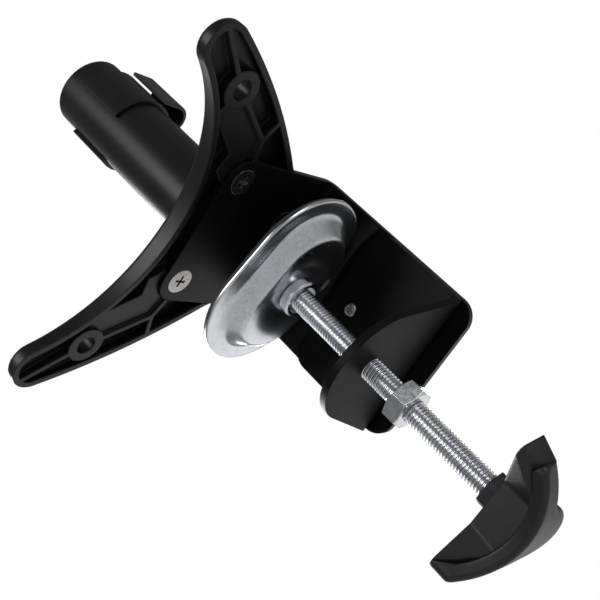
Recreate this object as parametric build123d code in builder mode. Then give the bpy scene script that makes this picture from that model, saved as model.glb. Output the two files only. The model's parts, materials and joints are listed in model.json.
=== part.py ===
from build123d import *
import os
from math import asin, atan2, cos, degrees, hypot, radians, sin, sqrt

# Desk-edge clamp foot for a 35 mm pole, in millimetres, +Z up.
# The origin is on the pole axis, in the plane that rests on the desk top.
# -Y is the open side of the clamp, +Y its back plate.

FIT = 0.05          # radial clearance of a running or sliding fit
CUT = 1.0           # how far a cut starts outside a face
FAR = 150.0         # longer than anything here
NEAR = 0.1          # how close an edge lies to where it is looked for

# --- foot ---
FOOT_H = 9.0                 # wall height at the middle
FOOT_TIP_H = 5.0             # wall height at the tips
FOOT_TIP_X = 83.0            # where that tip height is reached
CONCAVE_R = 79.0             # front edge
CONCAVE_Y = -116.0           # centre of the front edge's arc
TIP_R = 9.9                  # round ends of the two arms
TIP_ANGLE = 33.5             # direction of a tip from the centre of the front arc
FLANK_R = 290.0              # outer flank, tangent to the tip
SHOULDER = (36.4, 9.2)       # end of the outer flank, beside the bracket
FOOT_BACK_Y = 35.0
SHOULDER_R = 12.0
FOOT_EDGE_R = 2.0
RIM = 2.6                    # wall of the hollow underside
SKIN = 2.4                   # thickness over the pockets
RIB = 2.0
BOSS_X, BOSS_Y = 61.6, -47.75
BOSS_R = 8.25
BOSS_HOLE_R = 4.25
KNEE = (45.0, -20.4)         # where the ribs of one arm meet
RIB_AT_FLANK = (57.0, -16.0)
RIB_AT_SEAT = (33.0, -17.0)
BLOCK_POINTS = [(61.6, -47.75), (48.8, -51.5), (35.4, -32.2), (27.0, -33.8), (20.0, -24.0),
                (36.0, -17.4), KNEE]
BLOCK_Z = 1.5                # height of the pads' face above the rim
PLATE_GAP = 0.15             # clearance round the bracket plate in its recess
SEAT_R = 26.0                # solid middle under the pole
CONE_R, CONE_TOP_R, CONE_H = 33.0, 21.5, 17.0

# --- pole ---
POLE_R = 17.5
POLE_WALL = 2.0
POLE_Z0 = 8.0
POLE_Z1 = 116.0
PLUG_CAP = 2.0
PLUG_DEPTH = 12.0
PLUG_EDGE_R = 1.2
FOOT_PLUG_H = 16.0
BOLT_R = 4.0
BOLT_HEAD_R = 8.0
BOLT_HEAD_H = 4.0
BOLT_Z1 = 22.0
BOLT_HEX_R, BOLT_HEX_DEPTH = 2.9, 3.0

# --- upper bracket: plate under the foot and back plate, one bent sheet ---
SHEET = 3.0
BRACKET_HALF = 35.7
PLATE_FRONT_Y = -26.8
PLATE_CORNER_R = 10.0
BACK_Y = 39.7                # inner face of the back plate
BACK_Z = -93.0
BACK_CORNER_R = 9.0
BEND_IN = 2.5
FRONT_SCREWS = [(25.6, -16.8), (-25.6, -16.8)]
REAR_SCREWS = [(11.0, 24.0), (-11.0, 24.0)]
CSK_HEAD_R = 6.0
CSK_SHANK_R = 3.0
CSK_LENGTH = 7.6
CROSS_LENGTH, CROSS_WIDTH, CROSS_DEPTH = 5.6, 1.1, 1.6
INSERT_R = 4.2
INSERT_Z1 = 7.8
INSERT_BOSS_R = 7.5

# --- lower bracket: flange and arm, one bent sheet ---
ARM_SHEET = 3.5
FLANGE_Z = -35.0
FLANGE_Y = BACK_Y - ARM_SHEET
ARM_Z = -86.0                # underside of the arm
ARM_TOP = ARM_Z + ARM_SHEET
NOSE_R = 27.0
NOSE_Y = 8.0
ARM_BEND = 6.0
TONGUE_X = 22.0
TONGUE_W = 12.0
TONGUE_Z = -52.0             # lower face of a tongue, on the edge of its slot
TONGUE_DROP = 8.0
TONGUE_PLAY = 0.1            # between a tongue's hook and the back plate
TONGUE_ROOT = 0.5            # how far a tongue starts inside the flange
SLOT_PLAY = 0.4
FLANGE_SCREW_Z = -47.0
M3_R = 1.5
M3_HEAD_R = 3.0
M3_HEAD_H = 1.5
M3_EDGE_R = 0.7
M3_CROSS_LENGTH, M3_CROSS_WIDTH, M3_CROSS_DEPTH = 3.2, 0.7, 1.1

# --- clamp screw and what is on it ---
ROD_Y = 2.4
ROD_R = 5.0
ROD_Z0 = -169.0
ROD_Z1 = -41.2               # shoulder against the swivel bush
ROD_CHAMFER = 1.0
SPIGOT_R = 3.6
SPIGOT_Z1 = -33.4
GROOVE_R = 3.1
CIRCLIP_R = 5.2
CIRCLIP_GAP = 2.4
CLIP_T = 1.0
CLIP_Z = -35.0               # lower face of the circlip on the spigot
HEX_AF = 17.0
WELD_NUT_H = 5.0
LOCK_NUT_H = 8.0
LOCK_NUT_Z = -106.7
LOCK_NUT_TURN = 46.0
NUT_FACE_R = 8.3             # where the nut's bevel starts
NUT_BEVEL, NUT_BEVEL_H = 2.4, 1.385

# --- press pad ---
PAD_TURN = 12.5
PAD_HALF_STRAIGHT = 11.3
PAD_R = 30.5
PAD_FLANGE = 8.0
PAD_FLOOR_R = 16.5
PAD_RIM_Z = -31.0            # underside of the rim
PAD_DEPTH = 8.0
PAD_SHEET = 2.0
PAD_INSET = 0.8              # from the outer to the inner outline of its sloping wall
PAD_FLOOR_Z = PAD_RIM_Z - PAD_DEPTH
FACING_T, FACING_INSET, FACING_EDGE_R = 1.5, 0.8, 0.5
BUSH_R = 8.7
BUSH_NECK_R = 6.4
BUSH_Z0 = -43.4
BUSH_CUP_R = 6.6
BUSH_CHAMFER = 0.8
RING_R, RING_H = 9.5, 1.5

# --- cable clip ---
CLIP_Z0, CLIP_Z1 = 79.0, 105.0
CLIP_WALL = 1.7
CLIP_FROM, CLIP_TO = -68.0, 213.0     # ends of the C, in degrees
LOOP_ANGLE = 51.5
LOOP_AT = 21.2               # loop centre from the pole axis
LOOP_R = 6.8                 # to the middle of its wall
LOOP_WALL = 1.6
LOOP_MOUTH = (21.0, 15.0)    # free end of the loop's wall, radius and angle; the cable goes in here

# --- handle: a body with finger facets, and a rounded cap that closes it below ---
HANDLE_TURN = -3.6
COLLAR_Z = -151.6            # top of the collar round the screw
COLLAR_R = 7.9
WING_TOP = -156.6
BODY_LOW = -172.0            # plane of the body's lower outline
HUB_BODY_R = 10.2
HUB_CAP_R = 12.4
HUB_CORNER_R = 4.0           # between the hub and the wings
COLLAR_EDGE_R = 1.2
TOP_CORNER_R, LOW_CORNER_R = 3.0, 1.5
# the body's right half, front to back, at its top and at its lower outline
TOP_PLAN = [(10.4, -10.5), (27.6, -22.2), (31.8, -7.6), (7.0, 4.0)]
LOW_PLAN = [(11.0, -12.4), (18.6, -10.2), (25.0, -7.2), (6.0, 4.0)]
CAP_FRONT = -13.6            # middle of the front arc
CAP_RIGHT = [(26.4, -18.0), (28.4, -8.2), (11.0, -1.5)]
CAP_LEFT = [(-28.6, -21.8), (-32.4, -8.0), (-11.0, -1.5)]    # this wing's cap is longer
CAP_TIPS = (-25.0, -16.0)    # between these lie the corners of its front
CAP_HUB = -3.0               # behind this lie the corners beside its hub
SEAM_X, SEAM_CORNER_Z = 22.0, -163.5  # where the seam's arc ends
SEAM_RIGHT_Z, SEAM_LEFT_Z = -170.0, -136.5   # at the handle's reach
SEAM_MID = -171.4
KEEL_X, KEEL_TIP_Z = 27.0, -167.2
KEEL_MID = -177.2
KEEL_REACH = 33.2            # beyond the tips of the cap
CAP_EDGE_R = 2.0
CAP_CORNER_R = 3.0
HANDLE_REACH = 40.0          # beyond both tips
HANDLE_NUT_Z = -163.0        # top of the nut inside the handle
HANDLE_NUT_H = 6.5


def polar(centre, radius, angle):
    """The point at this radius and angle in degrees from a centre."""
    return (centre[0] + radius * cos(radians(angle)), centre[1] + radius * sin(radians(angle)))


def mirrored(point):
    return (-point[0], point[1])


def arc_radius(half_chord, sagitta):
    return (half_chord ** 2 + sagitta ** 2) / (2 * sagitta)


def bearing(start, end):
    """Direction from one point to another, in degrees."""
    return degrees(atan2(end[1] - start[1], end[0] - start[0]))


def tangent_centre(tip_centre):
    """Centre of the flank arc that touches the tip's circle and ends at the shoulder."""
    span = hypot(tip_centre[0] - SHOULDER[0], tip_centre[1] - SHOULDER[1])
    along = (FLANK_R ** 2 - (FLANK_R - TIP_R) ** 2 + span ** 2) / (2 * span)
    across = sqrt(FLANK_R ** 2 - along ** 2)
    foot = polar(SHOULDER, along, bearing(SHOULDER, tip_centre))
    return polar(foot, across, bearing(SHOULDER, tip_centre) - 90)


TIP_CENTRE = polar((0, CONCAVE_Y), CONCAVE_R + TIP_R, TIP_ANGLE)
CONCAVE_END = polar((0, CONCAVE_Y), CONCAVE_R, TIP_ANGLE)
FLANK_CENTRE = tangent_centre(TIP_CENTRE)
TIP_OUT_ANGLE = bearing(FLANK_CENTRE, TIP_CENTRE)
TIP_OUT = polar(TIP_CENTRE, TIP_R, TIP_OUT_ANGLE)
TIP_MID = polar(TIP_CENTRE, TIP_R, (TIP_ANGLE - 180 + TIP_OUT_ANGLE) / 2)
FLANK_MID = polar(FLANK_CENTRE, FLANK_R, (TIP_OUT_ANGLE + bearing(FLANK_CENTRE, SHOULDER)) / 2)
CROWN_R = arc_radius(FOOT_TIP_X, FOOT_H - FOOT_TIP_H)
RIB_POINTS = [polar(TIP_CENTRE, TIP_R - RIM / 2, -33), (BOSS_X, BOSS_Y), KNEE, RIB_AT_FLANK, RIB_AT_SEAT]


def foot_outline():
    """Crescent outline of the foot."""
    with BuildSketch() as outline:
        with BuildLine():
            ThreePointArc(mirrored(CONCAVE_END), (0, CONCAVE_Y + CONCAVE_R), CONCAVE_END)
            ThreePointArc(CONCAVE_END, TIP_MID, TIP_OUT)
            ThreePointArc(TIP_OUT, FLANK_MID, SHOULDER)
            ThreePointArc(SHOULDER, (0, FOOT_BACK_Y), mirrored(SHOULDER))
            ThreePointArc(mirrored(SHOULDER), mirrored(FLANK_MID), mirrored(TIP_OUT))
            ThreePointArc(mirrored(TIP_OUT), mirrored(TIP_MID), mirrored(CONCAVE_END))
        make_face()
        fillet(outline.vertices().sort_by(Axis.Y)[-2:], SHOULDER_R)
    return outline.sketch


def crown(lower_by):
    """Side view of the space under the foot's curved top."""
    top = FOOT_H - lower_by
    drop = CROWN_R - sqrt(CROWN_R ** 2 - FAR ** 2)
    with BuildSketch() as profile:
        with BuildLine():
            ThreePointArc((-FAR, top - drop), (0, top), (FAR, top - drop))
            Polyline((FAR, top - drop), (FAR, -FAR), (-FAR, -FAR), (-FAR, top - drop))
        make_face()
    return profile.sketch


def bracket_plate(grow):
    """Plan of the bracket plate under the foot."""
    length = BACK_Y + SHEET - PLATE_FRONT_Y
    with BuildSketch() as plate:
        with Locations((0, PLATE_FRONT_Y + length / 2)):
            Rectangle(2 * (BRACKET_HALF + grow), length + 2 * grow)
        fillet(plate.vertices().group_by(Axis.Y)[0], PLATE_CORNER_R + grow)
    return plate.sketch


def rib(start, end, width=RIB):
    """A straight rib between two points in plan."""
    length = hypot(end[0] - start[0], end[1] - start[1])
    middle = ((start[0] + end[0]) / 2, (start[1] + end[1]) / 2)
    with Locations(Location((middle[0], middle[1], 0), (0, 0, bearing(start, end)))):
        SlotOverall(length + width, width)


def on_both_arms(points):
    """The same plan points for the right arm and, mirrored, for the left arm."""
    return points, [mirrored(point) for point in points]


def foot_ribs():
    """Ribs and bosses that reach down to the rim, on both arms."""
    for tip, boss, knee, flank, seat in on_both_arms(RIB_POINTS):
        rib(tip, boss)
        rib(boss, knee)
        rib(knee, flank)
        rib(knee, seat)
        with Locations(boss):
            Circle(BOSS_R)
    Circle(SEAT_R)
    with Locations(*FRONT_SCREWS, *REAR_SCREWS):
        Circle(INSERT_BOSS_R)


def foot_blocks():
    """Thick pads beside the bosses, a little above the rim."""
    for outline in on_both_arms(BLOCK_POINTS):
        Polygon(*outline, align=None)


# ---------------------------------------------------------------- foot
with BuildPart() as pocket_tool:
    with BuildSketch(Plane.XY.offset(-CUT)):
        add(foot_outline())
        offset(amount=-RIM, mode=Mode.REPLACE)
        with BuildSketch(mode=Mode.PRIVATE) as kept:
            foot_ribs()
            foot_blocks()
        add(kept.sketch, mode=Mode.SUBTRACT)
    extrude(amount=FOOT_H + 2 * CUT)
    with BuildSketch(Plane.XZ):
        add(crown(SKIN))
    extrude(amount=FAR, both=True, mode=Mode.INTERSECT)

with BuildPart() as recess_tool:
    with BuildSketch(Plane.XY.offset(-CUT)):
        with BuildSketch(mode=Mode.PRIVATE) as blocks:
            foot_blocks()
        add(blocks.sketch)
        with BuildSketch(mode=Mode.PRIVATE) as rim:
            add(foot_outline())
            offset(amount=-RIM, mode=Mode.REPLACE)
        add(rim.sketch, mode=Mode.INTERSECT)
        with BuildSketch(mode=Mode.PRIVATE) as ribs:
            foot_ribs()
        add(ribs.sketch, mode=Mode.SUBTRACT)
    extrude(amount=CUT + BLOCK_Z)

with BuildPart() as base_foot:
    with BuildSketch(Plane.XY):
        add(foot_outline())
    extrude(amount=FOOT_H)
    with BuildSketch(Plane.XZ):
        add(crown(0))
    extrude(amount=FAR, both=True, mode=Mode.INTERSECT)
    fillet(faces().sort_by(Axis.Z)[-1].edges(), FOOT_EDGE_R)
    with BuildSketch(Plane.XY.offset(FOOT_H - FOOT_EDGE_R)):
        Circle(CONE_R)
    with BuildSketch(Plane.XY.offset(CONE_H)):
        Circle(CONE_TOP_R)
    loft()
    add(pocket_tool.part, mode=Mode.SUBTRACT)
    add(recess_tool.part, mode=Mode.SUBTRACT)
    with BuildSketch(Plane.XY.offset(-CUT)):
        add(bracket_plate(PLATE_GAP))
    extrude(amount=CUT + SHEET, mode=Mode.SUBTRACT)
    with Locations((BOSS_X, BOSS_Y, 0), (-BOSS_X, BOSS_Y, 0)):
        Hole(BOSS_HOLE_R)
    with BuildSketch(Plane.XY.offset(POLE_Z0)):
        Circle(POLE_R)
    extrude(amount=CONE_H, mode=Mode.SUBTRACT)
    with Locations(Plane((0, 0, SHEET), z_dir=(0, 0, -1))):
        CounterSinkHole(BOLT_R, BOLT_HEAD_R, POLE_Z0)
    with BuildSketch(Plane.XY.offset(SHEET)):
        with Locations(*FRONT_SCREWS, *REAR_SCREWS):
            Circle(INSERT_R)
    extrude(amount=INSERT_Z1 - SHEET, mode=Mode.SUBTRACT)
base_foot.part.label = "base_foot"

# ---------------------------------------------------------------- pole
with BuildPart() as pole_tube:
    with BuildSketch(Plane.XY.offset(POLE_Z0)):
        Circle(POLE_R)
        Circle(POLE_R - POLE_WALL, mode=Mode.SUBTRACT)
    extrude(amount=POLE_Z1 - POLE_Z0)
pole_tube.part.label = "pole_tube"

with BuildPart() as pole_end_plug:
    with BuildSketch(Plane.XY.offset(POLE_Z1)):
        Circle(POLE_R)
    extrude(amount=PLUG_CAP)
    fillet(edges().sort_by(Axis.Z)[-1], PLUG_EDGE_R)
    with BuildSketch(Plane.XY.offset(POLE_Z1)):
        Circle(POLE_R - POLE_WALL)
        Circle(POLE_R - 2 * POLE_WALL, mode=Mode.SUBTRACT)
    extrude(amount=-PLUG_DEPTH)
pole_end_plug.part.label = "pole_end_plug"

with BuildPart() as pole_foot_plug:
    with BuildSketch(Plane.XY.offset(POLE_Z0)):
        Circle(POLE_R - POLE_WALL)
        Circle(BOLT_R, mode=Mode.SUBTRACT)
    extrude(amount=FOOT_PLUG_H)
pole_foot_plug.part.label = "pole_foot_plug"

with BuildPart() as pole_bolt:
    with BuildSketch(Plane.XZ):
        Polygon((0, SHEET), (BOLT_HEAD_R, SHEET), (BOLT_R, SHEET + BOLT_HEAD_H),
                (BOLT_R, BOLT_Z1), (0, BOLT_Z1), align=None)
    revolve(axis=Axis.Z)
    with BuildSketch(Plane.XY.offset(SHEET)):
        RegularPolygon(BOLT_HEX_R, 6)
    extrude(amount=BOLT_HEX_DEPTH, mode=Mode.SUBTRACT)
pole_bolt.part.label = "pole_bolt"

# ---------------------------------------------------------------- upper bracket
with BuildPart() as upper_bracket:
    with BuildSketch(Plane.XY):
        add(bracket_plate(0))
    extrude(amount=SHEET)
    with BuildSketch(Plane.XZ.offset(-BACK_Y)):
        with Locations((0, (BACK_Z + SHEET) / 2)):
            Rectangle(2 * BRACKET_HALF, SHEET - BACK_Z)
        fillet(vertices().group_by(Axis.Y)[0], BACK_CORNER_R)
    extrude(amount=-SHEET)
    along_x = edges().filter_by(Axis.X).filter_by_position(Axis.Y, BACK_Y - NEAR, BACK_Y + SHEET + NEAR)
    fillet(along_x.filter_by_position(Axis.Z, -NEAR, NEAR), BEND_IN)
    along_x = edges().filter_by(Axis.X)
    bend = along_x.filter_by_position(Axis.Y, BACK_Y + SHEET - NEAR, BACK_Y + SHEET + NEAR)
    fillet(bend.filter_by_position(Axis.Z, SHEET - NEAR, SHEET + NEAR), BEND_IN + SHEET)
    for x, y in FRONT_SCREWS + REAR_SCREWS:
        with Locations(Plane((x, y, 0), z_dir=(0, 0, -1))):
            CounterSinkHole(CSK_SHANK_R, CSK_HEAD_R, SHEET)
    for side in (1, -1):
        with BuildSketch(Plane.XZ.offset(-BACK_Y)):
            with Locations((side * TONGUE_X, TONGUE_Z + (ARM_SHEET + TONGUE_DROP) / 2)):
                Rectangle(TONGUE_W + SLOT_PLAY, ARM_SHEET + TONGUE_DROP)
        extrude(amount=-SHEET, mode=Mode.SUBTRACT)
    with Locations(Plane((0, BACK_Y, FLANGE_SCREW_Z), z_dir=(0, -1, 0))):
        Hole(M3_R, SHEET)
upper_bracket.part.label = "upper_bracket"

# ---------------------------------------------------------------- lower bracket
with BuildPart() as lower_bracket:
    with BuildSketch(Plane.XZ.offset(-FLANGE_Y)):
        with Locations((0, (FLANGE_Z + ARM_Z) / 2)):
            Rectangle(2 * BRACKET_HALF, FLANGE_Z - ARM_Z)
        fillet(vertices().group_by(Axis.Y)[-1], BACK_CORNER_R)
    extrude(amount=-ARM_SHEET)
    with BuildSketch(Plane.XY.offset(ARM_Z)):
        with BuildSketch(mode=Mode.PRIVATE) as arm_parts:
            with Locations((0, NOSE_Y)):
                Circle(NOSE_R)
            with Locations((0, BACK_Y - ARM_SHEET / 2)):
                Rectangle(2 * BRACKET_HALF, ARM_SHEET)
        make_hull(arm_parts.sketch.edges())
    extrude(amount=ARM_SHEET)
    along_x = edges().filter_by(Axis.X)
    inner_bend = along_x.filter_by_position(Axis.Y, FLANGE_Y - NEAR, FLANGE_Y + NEAR)
    inner_bend = inner_bend.filter_by_position(Axis.Z, ARM_TOP - NEAR, ARM_TOP + NEAR)
    fillet(inner_bend, ARM_BEND - ARM_SHEET)
    along_x = edges().filter_by(Axis.X)
    outer_bend = along_x.filter_by_position(Axis.Y, BACK_Y - NEAR, BACK_Y + NEAR)
    fillet(outer_bend.filter_by_position(Axis.Z, ARM_Z - NEAR, ARM_Z + NEAR), ARM_BEND)
    for side in (1, -1):
        with BuildSketch(Plane.YZ.offset(side * TONGUE_X - TONGUE_W / 2)):
            root_y = BACK_Y - TONGUE_ROOT
            hook_y = BACK_Y + SHEET + TONGUE_PLAY
            with BuildLine():
                Polyline((root_y, TONGUE_Z), (hook_y, TONGUE_Z),
                         (hook_y, TONGUE_Z - TONGUE_DROP), (hook_y + ARM_SHEET, TONGUE_Z - TONGUE_DROP),
                         (hook_y + ARM_SHEET, TONGUE_Z + ARM_SHEET), (root_y, TONGUE_Z + ARM_SHEET),
                         (root_y, TONGUE_Z))
            make_face()
        extrude(amount=TONGUE_W)
    with Locations(Plane((0, FLANGE_Y, FLANGE_SCREW_Z), z_dir=(0, -1, 0))):
        Hole(M3_R, ARM_SHEET)
    with Locations((0, ROD_Y, ARM_TOP)):
        Hole(ROD_R + FIT, ARM_SHEET)
lower_bracket.part.label = "lower_bracket"

with BuildPart() as arm_weld_nut:
    with BuildSketch(Plane.XY.offset(ARM_TOP)):
        with Locations((0, ROD_Y)):
            RegularPolygon(HEX_AF / 2, 6, major_radius=False, rotation=30)
            Circle(ROD_R + FIT, mode=Mode.SUBTRACT)
    extrude(amount=WELD_NUT_H)
arm_weld_nut.part.label = "arm_weld_nut"


# ---------------------------------------------------------------- fasteners
def countersunk_screws(places):
    """Countersunk screws that come up through the plate, heads flush below."""
    with BuildPart() as screws:
        for x, y in places:
            with BuildSketch(Plane((x, y, 0), x_dir=(1, 0, 0), z_dir=(0, -1, 0))):
                Polygon((0, 0), (CSK_HEAD_R, 0), (CSK_SHANK_R, CSK_HEAD_R - CSK_SHANK_R),
                        (CSK_SHANK_R, CSK_LENGTH), (0, CSK_LENGTH), align=None)
            revolve(axis=Axis((x, y, 0), (0, 0, 1)))
            with BuildSketch(Plane.XY):
                with Locations((x, y)):
                    Rectangle(CROSS_LENGTH, CROSS_WIDTH)
                    Rectangle(CROSS_WIDTH, CROSS_LENGTH)
            extrude(amount=CROSS_DEPTH, mode=Mode.SUBTRACT)
    return screws.part


front_screws = countersunk_screws(FRONT_SCREWS)
front_screws.label = "front_bracket_screws"
rear_screws = countersunk_screws(REAR_SCREWS)
rear_screws.label = "rear_bracket_screws"

with BuildPart() as screw_inserts:
    with BuildSketch(Plane.XY.offset(SHEET)):
        with Locations(*FRONT_SCREWS, *REAR_SCREWS):
            Circle(INSERT_R)
            Circle(CSK_SHANK_R, mode=Mode.SUBTRACT)
    extrude(amount=INSERT_Z1 - SHEET)
screw_inserts.part.label = "screw_inserts"

with BuildPart() as flange_screw:
    with BuildSketch(Plane((0, FLANGE_Y, FLANGE_SCREW_Z), z_dir=(0, -1, 0))):
        Circle(M3_HEAD_R)
    extrude(amount=M3_HEAD_H)
    fillet(edges().sort_by(Axis.Y)[0], M3_EDGE_R)
    with BuildSketch(Plane((0, FLANGE_Y, FLANGE_SCREW_Z), z_dir=(0, 1, 0))):
        Circle(M3_R)
    extrude(amount=ARM_SHEET + SHEET)
    with BuildSketch(Plane((0, FLANGE_Y - M3_HEAD_H, FLANGE_SCREW_Z), z_dir=(0, 1, 0))):
        Rectangle(M3_CROSS_LENGTH, M3_CROSS_WIDTH)
        Rectangle(M3_CROSS_WIDTH, M3_CROSS_LENGTH)
    extrude(amount=M3_CROSS_DEPTH, mode=Mode.SUBTRACT)
flange_screw.part.label = "flange_screw"

# ---------------------------------------------------------------- clamp screw
with BuildPart() as clamp_screw:
    with BuildSketch(Plane.XY.offset(ROD_Z0)):
        with Locations((0, ROD_Y)):
            Circle(ROD_R)
    extrude(amount=ROD_Z1 - ROD_Z0)
    chamfer(edges().sort_by(Axis.Z)[0], ROD_CHAMFER)
    with BuildSketch(Plane.XY.offset(ROD_Z1)):
        with Locations((0, ROD_Y)):
            Circle(SPIGOT_R)
    extrude(amount=SPIGOT_Z1 - ROD_Z1)
    with BuildSketch(Plane.XY.offset(CLIP_Z)):
        with Locations((0, ROD_Y)):
            Circle(SPIGOT_R)
            Circle(GROOVE_R, mode=Mode.SUBTRACT)
    extrude(amount=CLIP_T, mode=Mode.SUBTRACT)
clamp_screw.part.label = "clamp_screw"

with BuildPart() as spigot_circlip:
    with BuildSketch(Plane.XY.offset(CLIP_Z)):
        with Locations((0, ROD_Y)):
            Circle(CIRCLIP_R)
            Circle(GROOVE_R, mode=Mode.SUBTRACT)
        with Locations((0, ROD_Y - (GROOVE_R + CIRCLIP_R) / 2)):
            Rectangle(CIRCLIP_GAP, CIRCLIP_R - GROOVE_R + 2 * CUT, mode=Mode.SUBTRACT)
    extrude(amount=CLIP_T)
spigot_circlip.part.label = "spigot_circlip"

with BuildPart() as swivel_bush:
    with BuildSketch(Plane((0, ROD_Y, 0), x_dir=(1, 0, 0), z_dir=(0, -1, 0))):
        bore = SPIGOT_R + FIT
        Polygon((bore, ROD_Z1 + FIT), (BUSH_CUP_R, ROD_Z1 + FIT), (BUSH_CUP_R, BUSH_Z0),
                (BUSH_R - BUSH_CHAMFER, BUSH_Z0), (BUSH_R, BUSH_Z0 + BUSH_CHAMFER),
                (BUSH_R, PAD_FLOOR_Z - FIT), (BUSH_NECK_R, PAD_FLOOR_Z - FIT),
                (BUSH_NECK_R, CLIP_Z - FIT), (bore, CLIP_Z - FIT), align=None)
    revolve(axis=Axis((0, ROD_Y, 0), (0, 0, 1)))
swivel_bush.part.label = "swivel_bush"

with BuildPart() as bush_ring:
    with BuildSketch(Plane.XY.offset(PAD_FLOOR_Z + PAD_SHEET + FIT)):
        with Locations((0, ROD_Y)):
            Circle(RING_R)
            Circle(BUSH_NECK_R, mode=Mode.SUBTRACT)
    extrude(amount=RING_H)
bush_ring.part.label = "bush_ring"

with BuildPart() as lock_nut:
    with BuildSketch(Plane.XY.offset(LOCK_NUT_Z - LOCK_NUT_H / 2)):
        with Locations((0, ROD_Y)):
            RegularPolygon(HEX_AF / 2, 6, major_radius=False, rotation=LOCK_NUT_TURN)
    extrude(amount=LOCK_NUT_H)
    with BuildSketch(Plane((0, ROD_Y, LOCK_NUT_Z), x_dir=(1, 0, 0), z_dir=(0, -1, 0))):
        half = LOCK_NUT_H / 2
        Polygon((0, -half), (NUT_FACE_R, -half), (NUT_FACE_R + NUT_BEVEL, NUT_BEVEL_H - half),
                (NUT_FACE_R + NUT_BEVEL, half - NUT_BEVEL_H), (NUT_FACE_R, half), (0, half), align=None)
    revolve(axis=Axis((0, ROD_Y, 0), (0, 0, 1)), mode=Mode.INTERSECT)
    with Locations((0, ROD_Y, LOCK_NUT_Z + LOCK_NUT_H / 2)):
        Hole(ROD_R + FIT, LOCK_NUT_H)
lock_nut.part.label = "lock_nut"


# ---------------------------------------------------------------- press pad
def pad_plane(z):
    return Plane((0, ROD_Y, z), x_dir=(cos(radians(PAD_TURN)), sin(radians(PAD_TURN)), 0), z_dir=(0, 0, 1))


def stadium(radius):
    SlotCenterToCenter(2 * PAD_HALF_STRAIGHT, 2 * radius)


with BuildPart() as press_pad:
    with BuildSketch(pad_plane(PAD_RIM_Z)):
        stadium(PAD_R)
    extrude(amount=PAD_SHEET)
    with BuildSketch(pad_plane(PAD_RIM_Z)):
        stadium(PAD_R - PAD_FLANGE)
    with BuildSketch(pad_plane(PAD_FLOOR_Z)):
        stadium(PAD_FLOOR_R)
    loft()
    with BuildSketch(pad_plane(PAD_RIM_Z + PAD_SHEET)):
        stadium(PAD_R - PAD_FLANGE - PAD_INSET)
    with BuildSketch(pad_plane(PAD_FLOOR_Z + PAD_SHEET)):
        stadium(PAD_FLOOR_R - PAD_INSET)
    loft(mode=Mode.SUBTRACT)
    with Locations((0, ROD_Y, PAD_FLOOR_Z + PAD_SHEET)):
        Hole(BUSH_NECK_R + FIT, 2 * PAD_SHEET)
press_pad.part.label = "press_pad"

with BuildPart() as pad_facing:
    with BuildSketch(pad_plane(PAD_RIM_Z + PAD_SHEET)):
        stadium(PAD_R - FACING_INSET)
    extrude(amount=FACING_T)
    fillet(edges().group_by(Axis.Z)[-1], FACING_EDGE_R)
pad_facing.part.label = "pad_facing"

# ---------------------------------------------------------------- cable clip
CLIP_R = POLE_R + FIT
LOOP_CENTRE = polar((0, 0), LOOP_AT, LOOP_ANGLE)
MOUTH = polar((0, 0), *LOOP_MOUTH)
MOUTH_SPAN = hypot(LOOP_CENTRE[0] - MOUTH[0], LOOP_CENTRE[1] - MOUTH[1])
TANGENT_ANGLE = bearing(MOUTH, LOOP_CENTRE) - degrees(asin(LOOP_R / MOUTH_SPAN)) - 90

with BuildPart() as cable_clip:
    with BuildSketch(Plane.XY.offset(CLIP_Z0)):
        with BuildLine():
            Line(MOUTH, polar(LOOP_CENTRE, LOOP_R, TANGENT_ANGLE))
            CenterArc(LOOP_CENTRE, LOOP_R, TANGENT_ANGLE, 180 - TANGENT_ANGLE)
        trace(line_width=LOOP_WALL)
        Circle(CLIP_R + CLIP_WALL)
        Circle(CLIP_R, mode=Mode.SUBTRACT)
        with BuildLine():
            gap_middle = (CLIP_FROM + CLIP_TO - 360) / 2
            Polyline((0, 0), polar((0, 0), FAR, CLIP_TO), polar((0, 0), 2 * FAR, gap_middle),
                     polar((0, 0), FAR, CLIP_FROM), (0, 0))
        make_face(mode=Mode.SUBTRACT)
    extrude(amount=CLIP_Z1 - CLIP_Z0)
cable_clip.part.label = "cable_clip"


# ---------------------------------------------------------------- handle
def handle_plane(z):
    return Plane((0, ROD_Y, z), x_dir=(cos(radians(HANDLE_TURN)), sin(radians(HANDLE_TURN)), 0),
                 z_dir=(0, 0, 1))


def handle_side():
    """Side-view plane through the rod, x along the wings and y up."""
    flat = handle_plane(0)
    return Plane((0, ROD_Y, 0), x_dir=flat.x_dir, z_dir=-flat.y_dir)


def wing_plan(half, corner_r):
    """Boomerang plan of the handle's body, wings swept to the front."""
    with BuildSketch() as plan:
        with BuildLine():
            Polyline(mirrored(half[0]), *half, *[mirrored(point) for point in reversed(half)])
        make_face()
        fillet(plan.vertices().group_by(Axis.Y)[0], corner_r)
    return plan.sketch


def cap_plan():
    """Plan of the cap: one arc along the front and a round hub at the back."""
    with BuildSketch() as plan:
        with BuildLine():
            ThreePointArc(CAP_LEFT[0], (0, CAP_FRONT), CAP_RIGHT[0])
            Polyline(*CAP_RIGHT, *reversed(CAP_LEFT))
        make_face()
        fillet(plan.vertices().filter_by_position(Axis.Y, *CAP_TIPS), CAP_CORNER_R)
        Circle(HUB_CAP_R)
        fillet(plan.vertices().filter_by_position(Axis.Y, CAP_HUB, HUB_CAP_R), HUB_CORNER_R)
    return plan.sketch


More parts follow.
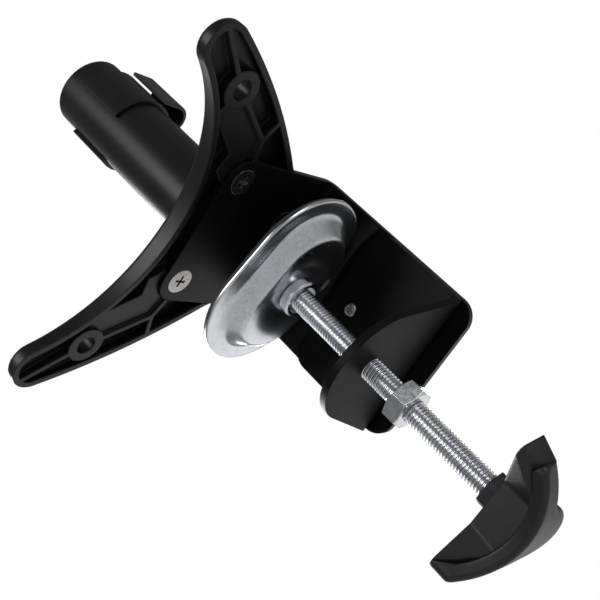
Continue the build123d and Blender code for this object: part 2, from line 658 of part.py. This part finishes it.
def above_seam():
    """Side view of everything above the seam between body and cap."""
    with BuildSketch() as profile:
        with BuildLine():
            ThreePointArc((-SEAM_X, SEAM_CORNER_Z), (0, SEAM_MID), (SEAM_X, SEAM_CORNER_Z))
            Polyline((SEAM_X, SEAM_CORNER_Z), (HANDLE_REACH, SEAM_RIGHT_Z), (HANDLE_REACH, 0),
                     (-HANDLE_REACH, 0), (-HANDLE_REACH, SEAM_LEFT_Z), (-SEAM_X, SEAM_CORNER_Z))
        make_face()
    return profile.sketch


def above_keel():
    """Side view of everything above the handle's rounded underside."""
    radius = arc_radius(KEEL_X, KEEL_TIP_Z - KEEL_MID)
    end_z = KEEL_MID + radius - sqrt(radius ** 2 - KEEL_REACH ** 2)
    with BuildSketch() as profile:
        with BuildLine():
            ThreePointArc((-KEEL_REACH, end_z), (0, KEEL_MID), (KEEL_REACH, end_z))
            Polyline((KEEL_REACH, end_z), (KEEL_REACH, COLLAR_Z), (-KEEL_REACH, COLLAR_Z),
                     (-KEEL_REACH, end_z))
        make_face()
    return profile.sketch


with BuildPart() as handle_body:
    with BuildSketch(handle_plane(WING_TOP)):
        add(wing_plan(TOP_PLAN, TOP_CORNER_R))
    with BuildSketch(handle_plane(BODY_LOW)):
        add(wing_plan(LOW_PLAN, LOW_CORNER_R))
    loft(ruled=True)
    with BuildSketch(handle_plane(BODY_LOW)):
        Circle(HUB_BODY_R)
    extrude(amount=WING_TOP - BODY_LOW)
    with BuildSketch(handle_side()):
        add(above_seam())
    extrude(amount=HANDLE_REACH, both=True, mode=Mode.INTERSECT)
    with BuildSketch(handle_plane(WING_TOP)):
        RegularPolygon(COLLAR_R, 6)
        fillet(vertices(), COLLAR_EDGE_R)
    extrude(amount=COLLAR_Z - WING_TOP)
    with BuildSketch(handle_plane(COLLAR_Z)):
        Circle(ROD_R)
    extrude(amount=HANDLE_NUT_Z - COLLAR_Z, mode=Mode.SUBTRACT)
    with BuildSketch(handle_plane(HANDLE_NUT_Z)):
        RegularPolygon(HEX_AF / 2, 6, major_radius=False)
    extrude(amount=BODY_LOW - HANDLE_NUT_Z, mode=Mode.SUBTRACT)
handle_body.part.label = "handle_body"

with BuildPart() as handle_cap:
    with BuildSketch(handle_plane(KEEL_MID)):
        add(cap_plan())
    extrude(amount=WING_TOP - KEEL_MID)
    with BuildSketch(handle_side()):
        add(above_keel())
    extrude(amount=HANDLE_REACH, both=True, mode=Mode.INTERSECT)
    fillet(faces().sort_by(Axis.Z)[0].edges(), CAP_EDGE_R)
    with BuildSketch(handle_side()):
        add(above_seam())
    extrude(amount=HANDLE_REACH, both=True, mode=Mode.SUBTRACT)
handle_cap.part.label = "handle_cap"

with BuildPart() as handle_nut:
    with BuildSketch(handle_plane(HANDLE_NUT_Z)):
        RegularPolygon(HEX_AF / 2, 6, major_radius=False)
        Circle(ROD_R, mode=Mode.SUBTRACT)
    extrude(amount=-HANDLE_NUT_H)
handle_nut.part.label = "handle_nut"

# ---------------------------------------------------------------- write
PIECES = [base_foot.part, pole_tube.part, pole_end_plug.part, pole_foot_plug.part, pole_bolt.part,
          upper_bracket.part, lower_bracket.part, arm_weld_nut.part, front_screws, rear_screws,
          screw_inserts.part, flange_screw.part, clamp_screw.part, spigot_circlip.part,
          swivel_bush.part, bush_ring.part, lock_nut.part, press_pad.part, pad_facing.part,
          cable_clip.part, handle_body.part, handle_cap.part, handle_nut.part]

os.makedirs("parts", exist_ok=True)
for piece in PIECES:
    export_step(piece, f"parts/{piece.label}.step")
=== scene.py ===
import json
from math import cos, radians, sin, tau

import bpy
from mathutils import Matrix, Vector

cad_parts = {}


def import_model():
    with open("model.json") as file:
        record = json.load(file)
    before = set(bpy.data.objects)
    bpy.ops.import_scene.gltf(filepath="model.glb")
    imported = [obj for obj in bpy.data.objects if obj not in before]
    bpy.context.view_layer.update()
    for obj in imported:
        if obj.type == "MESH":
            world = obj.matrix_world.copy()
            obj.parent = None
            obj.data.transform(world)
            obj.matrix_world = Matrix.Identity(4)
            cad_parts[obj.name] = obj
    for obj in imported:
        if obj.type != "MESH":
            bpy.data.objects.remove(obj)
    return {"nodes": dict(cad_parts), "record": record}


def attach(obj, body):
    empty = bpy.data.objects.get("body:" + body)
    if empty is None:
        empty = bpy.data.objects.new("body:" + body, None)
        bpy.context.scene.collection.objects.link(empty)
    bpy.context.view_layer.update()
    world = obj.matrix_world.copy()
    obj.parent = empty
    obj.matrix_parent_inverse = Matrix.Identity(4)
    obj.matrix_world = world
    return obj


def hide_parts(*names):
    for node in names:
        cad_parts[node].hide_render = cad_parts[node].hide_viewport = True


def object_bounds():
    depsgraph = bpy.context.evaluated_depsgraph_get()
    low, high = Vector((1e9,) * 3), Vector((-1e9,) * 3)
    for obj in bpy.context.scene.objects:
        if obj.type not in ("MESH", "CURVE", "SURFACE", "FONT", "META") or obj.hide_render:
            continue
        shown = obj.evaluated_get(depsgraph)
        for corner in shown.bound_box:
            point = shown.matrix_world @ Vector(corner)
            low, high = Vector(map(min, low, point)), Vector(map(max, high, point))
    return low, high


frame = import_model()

MM = 0.001
CAD_LOW, CAD_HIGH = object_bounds()
NODES = frame["nodes"]
BEVEL_SAMPLES = 6
MIX_A, MIX_B, MIX_RESULT = 6, 7, 2      # the colour sockets of a mix node


# ---------------------------------------------------------------- materials
class Nodes:
    """A node material with a principled shader, built by short calls."""

    def __init__(self, name):
        self.material = bpy.data.materials.new(name)
        self.material.use_nodes = True
        self.tree = self.material.node_tree
        self.tree.nodes.clear()
        self.shader = self.add("ShaderNodeBsdfPrincipled")
        output = self.add("ShaderNodeOutputMaterial")
        self.link(self.shader.outputs["BSDF"], output.inputs["Surface"])
        self.place = self.add("ShaderNodeTexCoord").outputs["Object"]

    def add(self, kind, **settings):
        node = self.tree.nodes.new(kind)
        for key, value in settings.items():
            setattr(node, key, value)
        return node

    def link(self, source, target):
        self.tree.links.new(source, target)

    def set(self, **sockets):
        """Uniform values on the shader's own sockets."""
        for key, value in sockets.items():
            self.shader.inputs[key.replace("_", " ")].default_value = value

    def noise(self, size, detail=3.0, roughness=0.55):
        """Noise whose blobs are about this many metres across."""
        node = self.add("ShaderNodeTexNoise")
        node.inputs["Scale"].default_value = 1 / size
        node.inputs["Detail"].default_value = detail
        node.inputs["Roughness"].default_value = roughness
        self.link(self.place, node.inputs["Vector"])
        return node.outputs["Fac"]

    def cells(self, size):
        """Crystal cells about this many metres across, each with a grey value of its own."""
        node = self.add("ShaderNodeTexVoronoi")
        node.inputs["Scale"].default_value = 1 / size
        self.link(self.place, node.inputs["Vector"])
        grey = self.add("ShaderNodeRGBToBW")
        self.link(node.outputs["Color"], grey.inputs["Color"])
        return grey.outputs["Val"]

    def ramp(self, source, low, high, at_low=0.0, at_high=1.0):
        """Maps a 0 to 1 value to another range."""
        node = self.add("ShaderNodeMapRange")
        node.inputs["From Min"].default_value = at_low
        node.inputs["From Max"].default_value = at_high
        node.inputs["To Min"].default_value = low
        node.inputs["To Max"].default_value = high
        self.link(source, node.inputs["Value"])
        return node.outputs["Result"]

    def mix(self, amount, first, second):
        """Colour mix of two colours or sockets."""
        node = self.add("ShaderNodeMix", data_type="RGBA")
        self.link(amount, node.inputs["Factor"])
        for socket, value in ((node.inputs[MIX_A], first), (node.inputs[MIX_B], second)):
            if isinstance(value, tuple):
                socket.default_value = (*value, 1)
            else:
                self.link(value, socket)
        return node.outputs[MIX_RESULT]

    def bump(self, height, depth, normal=None):
        """A bump this many metres deep, on top of another normal."""
        node = self.add("ShaderNodeBump")
        node.inputs["Distance"].default_value = depth
        self.link(height, node.inputs["Height"])
        if normal is not None:
            self.link(normal, node.inputs["Normal"])
        return node.outputs["Normal"]

    def rounded(self, radius):
        """Shading normal with edges rounded to this radius."""
        node = self.add("ShaderNodeBevel", samples=BEVEL_SAMPLES)
        node.inputs["Radius"].default_value = radius
        return node.outputs["Normal"]

    def edges(self, radius):
        """About 0 on flat surfaces and 1 along edges and in corners."""
        bevel = self.add("ShaderNodeBevel", samples=BEVEL_SAMPLES)
        bevel.inputs["Radius"].default_value = radius
        geometry = self.add("ShaderNodeNewGeometry")
        dot = self.add("ShaderNodeVectorMath", operation="DOT_PRODUCT")
        self.link(bevel.outputs["Normal"], dot.inputs[0])
        self.link(geometry.outputs["Normal"], dot.inputs[1])
        return self.ramp(dot.outputs["Value"], 0, 1, at_low=1.0, at_high=0.8)


def shade(colour, factor):
    """A lighter or darker shade of a colour."""
    return tuple(factor * c for c in colour)


def moulded_plastic(name, base, edge_wear_and_highlight, roughness, shine=0.3, edge=0.0006):
    """Satin moulded plastic with a fine grain, lighter along its rounded edges: partly rubbed
    wear, partly painted highlight.
    """
    m = Nodes(name)
    patches = m.noise(0.018, detail=4)
    tone = m.mix(m.ramp(patches, 0, 1, 0.35, 0.7), base, shade(base, 1.5))
    # edges mixed to a lighter colour: partly rubbed wear, partly painted highlight
    m.link(m.mix(m.edges(0.0005), tone, edge_wear_and_highlight), m.shader.inputs["Base Color"])
    m.link(m.ramp(patches, roughness - 0.05, roughness + 0.07), m.shader.inputs["Roughness"])
    fine = m.bump(m.noise(0.00045, detail=2), 0.00002, m.rounded(edge))
    m.link(m.bump(m.noise(0.006, detail=2), 0.00004, fine), m.shader.inputs["Normal"])
    m.set(Specular_IOR_Level=shine)
    return m.material


def powder_coat(name, base, roughness, shine):
    """Satin powder coat on steel, with a slight orange peel and a painted highlight along the
    edges.
    """
    m = Nodes(name)
    patches = m.noise(0.03, detail=5)
    tone = m.mix(m.ramp(patches, 0, 1, 0.35, 0.7), base, shade(base, 1.35))
    # edges mixed to a brighter shade of the paint: painted highlight
    m.link(m.mix(m.edges(0.0004), tone, shade(base, 2.5)), m.shader.inputs["Base Color"])
    m.link(m.ramp(patches, roughness - 0.04, roughness + 0.06), m.shader.inputs["Roughness"])
    peel = m.bump(m.noise(0.0011, detail=2), 0.00002, m.rounded(0.0004))
    m.link(m.bump(m.noise(0.0003, detail=1), 0.000006, peel), m.shader.inputs["Normal"])
    m.set(Specular_IOR_Level=shine)
    return m.material


def zinc_plate(name, roughness=0.2, spangle=0.0016, spread=0.06, edge=0.0004):
    """Bright zinc-plated steel: small crystal cells, faint ripples and dull patches."""
    m = Nodes(name)
    patches = m.noise(0.009, detail=5, roughness=0.65)
    cell = m.cells(spangle)
    dull = m.mix(m.ramp(patches, 0, 1, 0.4, 0.75), (0.66, 0.68, 0.71), (0.50, 0.52, 0.55))
    m.link(m.mix(m.ramp(cell, 0, 1, 0.3, 1.0), dull, (0.74, 0.76, 0.79)),
           m.shader.inputs["Base Color"])
    m.link(m.ramp(cell, roughness - spread, roughness + spread), m.shader.inputs["Roughness"])
    ripples = m.bump(m.noise(0.0012, detail=3), 0.000006, m.rounded(edge))
    m.link(m.bump(m.noise(0.006, detail=2), 0.00003, ripples), m.shader.inputs["Normal"])
    m.set(Metallic=1.0)
    return m.material


def plain_metal(name, base, roughness, grain=0.0006, depth=0.00001):
    """Turned or plated metal with fine tool marks."""
    m = Nodes(name)
    patches = m.noise(0.002, detail=4)
    m.link(m.mix(m.ramp(patches, 0, 1, 0.3, 0.75), base, shade(base, 0.7)),
           m.shader.inputs["Base Color"])
    m.link(m.ramp(patches, roughness - 0.06, roughness + 0.1), m.shader.inputs["Roughness"])
    m.link(m.bump(m.noise(grain, detail=2), depth, m.rounded(0.0002)), m.shader.inputs["Normal"])
    m.set(Metallic=1.0)
    return m.material


def rubber(name):
    """Matt black rubber sheet with a fine cloth-like grain."""
    m = Nodes(name)
    patches = m.noise(0.01, detail=4)
    m.link(m.mix(patches, (0.018, 0.018, 0.019), (0.035, 0.034, 0.033)),
           m.shader.inputs["Base Color"])
    m.link(m.ramp(patches, 0.7, 0.9), m.shader.inputs["Roughness"])
    m.link(m.bump(m.noise(0.0007, detail=3), 0.00008), m.shader.inputs["Normal"])
    return m.material


# second colour: lighter edges, partly rubbed wear and partly painted highlight
FOOT_PLASTIC = moulded_plastic("foot_plastic", (0.0055, 0.0055, 0.0060), (0.026, 0.026, 0.028),
                               0.36, shine=0.28, edge=0.0009)
CLIP_PLASTIC = moulded_plastic("clip_plastic", (0.006, 0.006, 0.0065), (0.015, 0.015, 0.016),
                               0.36)
HANDLE_PLASTIC = moulded_plastic("handle_plastic", (0.009, 0.009, 0.0098), (0.024, 0.024, 0.027),
                                 0.40, shine=0.40, edge=0.0013)
POLE_PAINT = powder_coat("pole_paint", (0.006, 0.006, 0.0063), 0.38, 0.30)
BRACKET_PAINT = powder_coat("bracket_paint", (0.004, 0.004, 0.0042), 0.34, 0.16)
# the bracket paint again, darker as painted shade and duller, for the lower bracket
ARM_PAINT_SHADED = powder_coat("arm_paint_shaded", (0.0035, 0.0035, 0.0037), 0.44, 0.09)
ZINC = zinc_plate("zinc_steel")
PAD_ZINC = zinc_plate("pad_zinc", roughness=0.26, spangle=0.0007, spread=0.015)
THREAD_ZINC = zinc_plate("thread_zinc", roughness=0.22, spangle=0.0007, edge=0.00008)
NICKEL = plain_metal("nickel_steel", (0.46, 0.45, 0.43), 0.24, grain=0.0011, depth=0.00013)
SPRING_STEEL = plain_metal("spring_steel", (0.16, 0.16, 0.17), 0.38)
BRASS = plain_metal("brass", (0.72, 0.55, 0.27), 0.3)
PAD_RUBBER = rubber("pad_rubber")

FINISH = {
    "foot_plastic": FOOT_PLASTIC,
    "clip_plastic": CLIP_PLASTIC,
    "handle_plastic": HANDLE_PLASTIC,
    "pole_paint": POLE_PAINT,
    "bracket_paint": BRACKET_PAINT,
    "zinc_steel": ZINC,
    "nickel_steel": NICKEL,
    "spring_steel": SPRING_STEEL,
    "brass": BRASS,
    "pad_rubber": PAD_RUBBER,
}
OWN_FINISH = {"lower_bracket": ARM_PAINT_SHADED}     # a darker copy of the bracket paint as painted shade, and duller than the upper bracket
SLOT_OF = {row["node"]: row["material_slot"] for row in frame["record"]["subparts"]}


def dress_cad_nodes():
    """Gives each carried-over node its finish."""
    for name, node in NODES.items():
        node.data.materials.clear()
        node.data.materials.append(OWN_FINISH.get(name, FINISH[SLOT_OF[name]]))


dress_cad_nodes()


# ---------------------------------------------------------------- turned and pressed pieces
ROD_Y = 2.4                  # the clamp screw's axis, in millimetres behind the pole's


def mesh_piece(name, vertices, faces, material, smooth_angle):
    """A finished object from millimetre vertices, smooth except at sharp edges."""
    mesh = bpy.data.meshes.new(name)
    mesh.from_pydata([Vector(v) * MM for v in vertices], [], faces)
    mesh.validate()
    mesh.shade_smooth()
    mesh.set_sharp_from_angle(angle=radians(smooth_angle))
    mesh.materials.append(material)
    piece = bpy.data.objects.new(name, mesh)
    bpy.context.scene.collection.objects.link(piece)
    return piece


def tube_faces(rings, around):
    """Quads between consecutive closed rings of vertices."""
    faces = []
    for i in range(rings - 1):
        low, high = i * around, (i + 1) * around
        for j in range(around):
            k = (j + 1) % around
            faces.append((low + j, low + k, high + k, high + j))
    return faces


def circle(radius, z, around, phase=0.0):
    """A ring of points round the z axis, shifted by a part of a step."""
    angles = [tau * (j + phase) / around for j in range(around)]
    return [(radius * cos(angle), radius * sin(angle), z) for angle in angles]


def on_rod(points, turn=0.0):
    """Points in a piece's own plan, turned and moved onto the rod's axis."""
    c, s = cos(turn), sin(turn)
    return [(c * x - s * y, ROD_Y + s * x + c * y, z) for x, y, z in points]


# M10 rod with a 1.5 mm thread
PITCH = 1.5
CREST_R, ROOT_R = 4.98, 4.10
ROOT_SHARE, FLANK_SHARE = 0.10, 0.72    # of half a pitch; the crest takes the rest
FLANK_EASE = 0.25                       # how far the flanks curve into root and crest
END_STEP = 0.1                          # the end chamfers start this far below the root
THREAD_Z0, THREAD_Z1 = -169.0, -41.2
ROD_AROUND, LEVELS_PER_PITCH = 36, 10
# radius and height, upwards, with a groove for the circlip
SPIGOT = [(3.6, -41.2), (3.6, -35.0), (3.1, -35.0), (3.1, -34.0), (3.6, -34.0),
          (3.6, -33.7), (3.3, -33.4)]


def thread_radius(turn):
    """Radius at a fraction of a turn: rounded root, straight flanks and flat crest."""
    place = abs(turn - 0.5) * 2
    rise = min(max((place - ROOT_SHARE) / FLANK_SHARE, 0.0), 1.0)
    eased = rise * rise * (3 - 2 * rise) * FLANK_EASE + rise * (1 - FLANK_EASE)
    return ROOT_R + (CREST_R - ROOT_R) * eased


def thread_ring(z):
    """One level of the thread, chamfered near both ends."""
    most = ROOT_R - END_STEP + min(z - THREAD_Z0, THREAD_Z1 - z)
    points = []
    for j in range(ROD_AROUND):
        radius = min(thread_radius((z / PITCH - j / ROD_AROUND) % 1.0), most)
        angle = tau * j / ROD_AROUND
        points.append((radius * cos(angle), radius * sin(angle), z))
    return points


def threaded_rod():
    """The clamp screw: helical thread, chamfered lower end and turned spigot."""
    step = PITCH / LEVELS_PER_PITCH
    count = int((THREAD_Z1 - THREAD_Z0) / step) + 1
    levels = [THREAD_Z0 + step * i for i in range(count)] + [THREAD_Z1]
    rings = [thread_ring(z) for z in levels]
    rings += [circle(radius, z, ROD_AROUND) for radius, z in SPIGOT]
    vertices = on_rod([point for ring in rings for point in ring])
    faces = tube_faces(len(rings), ROD_AROUND)
    faces.append(tuple(reversed(range(ROD_AROUND))))
    faces.append(tuple(range((len(rings) - 1) * ROD_AROUND, len(rings) * ROD_AROUND)))
    rod = mesh_piece("clamp_screw_thread", vertices, faces, THREAD_ZINC, smooth_angle=60)
    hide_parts("clamp_screw")
    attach(rod, "screw")


# pressed pad: offset from the core line and height, along the section
PAD_TURN = radians(12.5)
PAD_HALF = 11.3              # half the length of the core line
PAD_AROUND = 144
PAD_UNDERSIDE = [(30.1, -29.0), (30.4, -29.3), (30.5, -29.9), (30.4, -30.6), (30.1, -30.95),
                 (29.6, -31.0), (27.5, -31.0), (25.2, -31.0), (24.2, -31.08), (23.3, -31.4),
                 (22.5, -31.95), (21.8, -32.7), (20.9, -33.9), (20.0, -35.1), (19.1, -36.3),
                 (18.3, -37.4), (17.6, -38.2), (16.8, -38.75), (15.8, -38.97), (14.8, -39.0),
                 (13.4, -39.0)]
# the hole for the bush: radius and height
PAD_HOLE = [(6.75, -39.0), (6.45, -38.7), (6.45, -37.3), (6.75, -37.0)]
PAD_TOPSIDE = [(13.0, -37.0), (14.4, -37.0), (15.4, -36.9), (16.2, -36.4), (17.0, -35.4),
               (18.2, -33.8), (19.4, -32.0), (20.4, -30.6), (21.3, -29.6), (22.4, -29.1),
               (23.6, -29.0), (27.0, -29.0), (30.1, -29.0)]


def stadium(radius, z):
    """A ring of points at this distance round the pad's core line."""
    points = circle(radius, z, PAD_AROUND, phase=0.5)
    return [((PAD_HALF if x > 0 else -PAD_HALF) + x, y, z) for x, y, z in points]


def pressed_pad():
    """The press pad: rolled rim, flat flange, drawn wall with round bends and flat floor."""
    rings = [stadium(radius, z) for radius, z in PAD_UNDERSIDE]
    rings += [circle(radius, z, PAD_AROUND, phase=0.5) for radius, z in PAD_HOLE]
    rings += [stadium(radius, z) for radius, z in PAD_TOPSIDE]
    vertices = on_rod([point for ring in rings for point in ring], PAD_TURN)
    faces = tube_faces(len(rings), PAD_AROUND)
    pad = mesh_piece("press_pad_drawn", vertices, faces, PAD_ZINC, smooth_angle=50)
    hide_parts("press_pad")
    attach(pad, "pad")


threaded_rod()
pressed_pad()


# ---------------------------------------------------------------- stage
FLOOR_DROP = 0.070           # how far below the object the floor lies
FLOOR_HALF = 2.5
TARGET = (0.0, 0.0, -0.03)   # what most lights aim at

CAMERA_AT = (0.13269, -0.34134, -0.23942)
CAMERA_FORWARD = Vector((-0.31875, 0.82216, 0.47165))
CAMERA_UP = Vector((0.78074, -0.05440, 0.62248))
SENSOR_WIDTH, LENS = 36.0, 60.985       # millimetres


def floor():
    """A large plain pale floor, below the object and the camera."""
    level = CAD_LOW.z - FLOOR_DROP
    signs = ((-1, -1), (1, -1), (1, 1), (-1, 1))
    corners = [(x * FLOOR_HALF, y * FLOOR_HALF, level) for x, y in signs]
    mesh = bpy.data.meshes.new("floor")
    mesh.from_pydata(corners, [], [(0, 1, 2, 3)])
    plane = bpy.data.objects.new("floor", mesh)
    bpy.context.scene.collection.objects.link(plane)
    m = Nodes("floor_paper")
    grey = m.mix(m.noise(0.4, detail=4), (0.42, 0.42, 0.42), (0.46, 0.46, 0.46))
    m.link(grey, m.shader.inputs["Base Color"])
    m.set(Roughness=0.9, Specular_IOR_Level=0.1)
    plane.data.materials.append(m.material)


def world(seen, light):
    """Pale surroundings: one strength where the camera sees them and one as light."""
    w = bpy.data.worlds.new("studio")
    bpy.context.scene.world = w
    w.use_nodes = True
    tree = w.node_tree
    background = tree.nodes["Background"]
    background.inputs["Color"].default_value = (1, 1, 1, 1)
    path = tree.nodes.new("ShaderNodeLightPath")
    strength = tree.nodes.new("ShaderNodeMapRange")
    strength.inputs["To Min"].default_value = light
    strength.inputs["To Max"].default_value = seen
    tree.links.new(path.outputs["Is Camera Ray"], strength.inputs["Value"])
    tree.links.new(strength.outputs["Result"], background.inputs["Strength"])


def softbox(name, at, size, watts, aim=TARGET):
    """A square area light aimed at the object or at another point."""
    data = bpy.data.lights.new(name, "AREA")
    data.energy = watts
    data.size = size
    light = bpy.data.objects.new(name, data)
    light.location = at
    light.rotation_euler = (Vector(aim) - Vector(at)).to_track_quat("-Z", "Y").to_euler()
    bpy.context.scene.collection.objects.link(light)


def camera():
    """Camera below the foot, looking up past the handle, rolled so the screw runs down right."""
    data = bpy.data.cameras.new("camera")
    data.sensor_width = SENSOR_WIDTH
    data.lens = LENS
    data.clip_start = 0.01
    data.clip_end = 20.0
    cam = bpy.data.objects.new("camera", data)
    axes = (CAMERA_FORWARD.cross(CAMERA_UP), CAMERA_UP, -CAMERA_FORWARD)
    cam.matrix_world = Matrix.Translation(CAMERA_AT) @ Matrix(axes).transposed().to_4x4()
    bpy.context.scene.collection.objects.link(cam)
    bpy.context.scene.camera = cam


floor()
world(seen=1.0, light=0.20)
softbox("key", at=(-0.05, -0.85, 0.46), size=0.45, watts=4.5)
softbox("left_rim", at=(-0.75, 0.45, 0.40), size=0.5, watts=7)
softbox("right_fill", at=(0.75, -0.30, -0.10), size=0.35, watts=1.4)
softbox("floor_wash", at=(-0.30, 0.75, 0.30), size=0.5, watts=9, aim=(-0.22, 0.42, -0.25))
camera()
bpy.context.scene.view_settings.view_transform = "Standard"
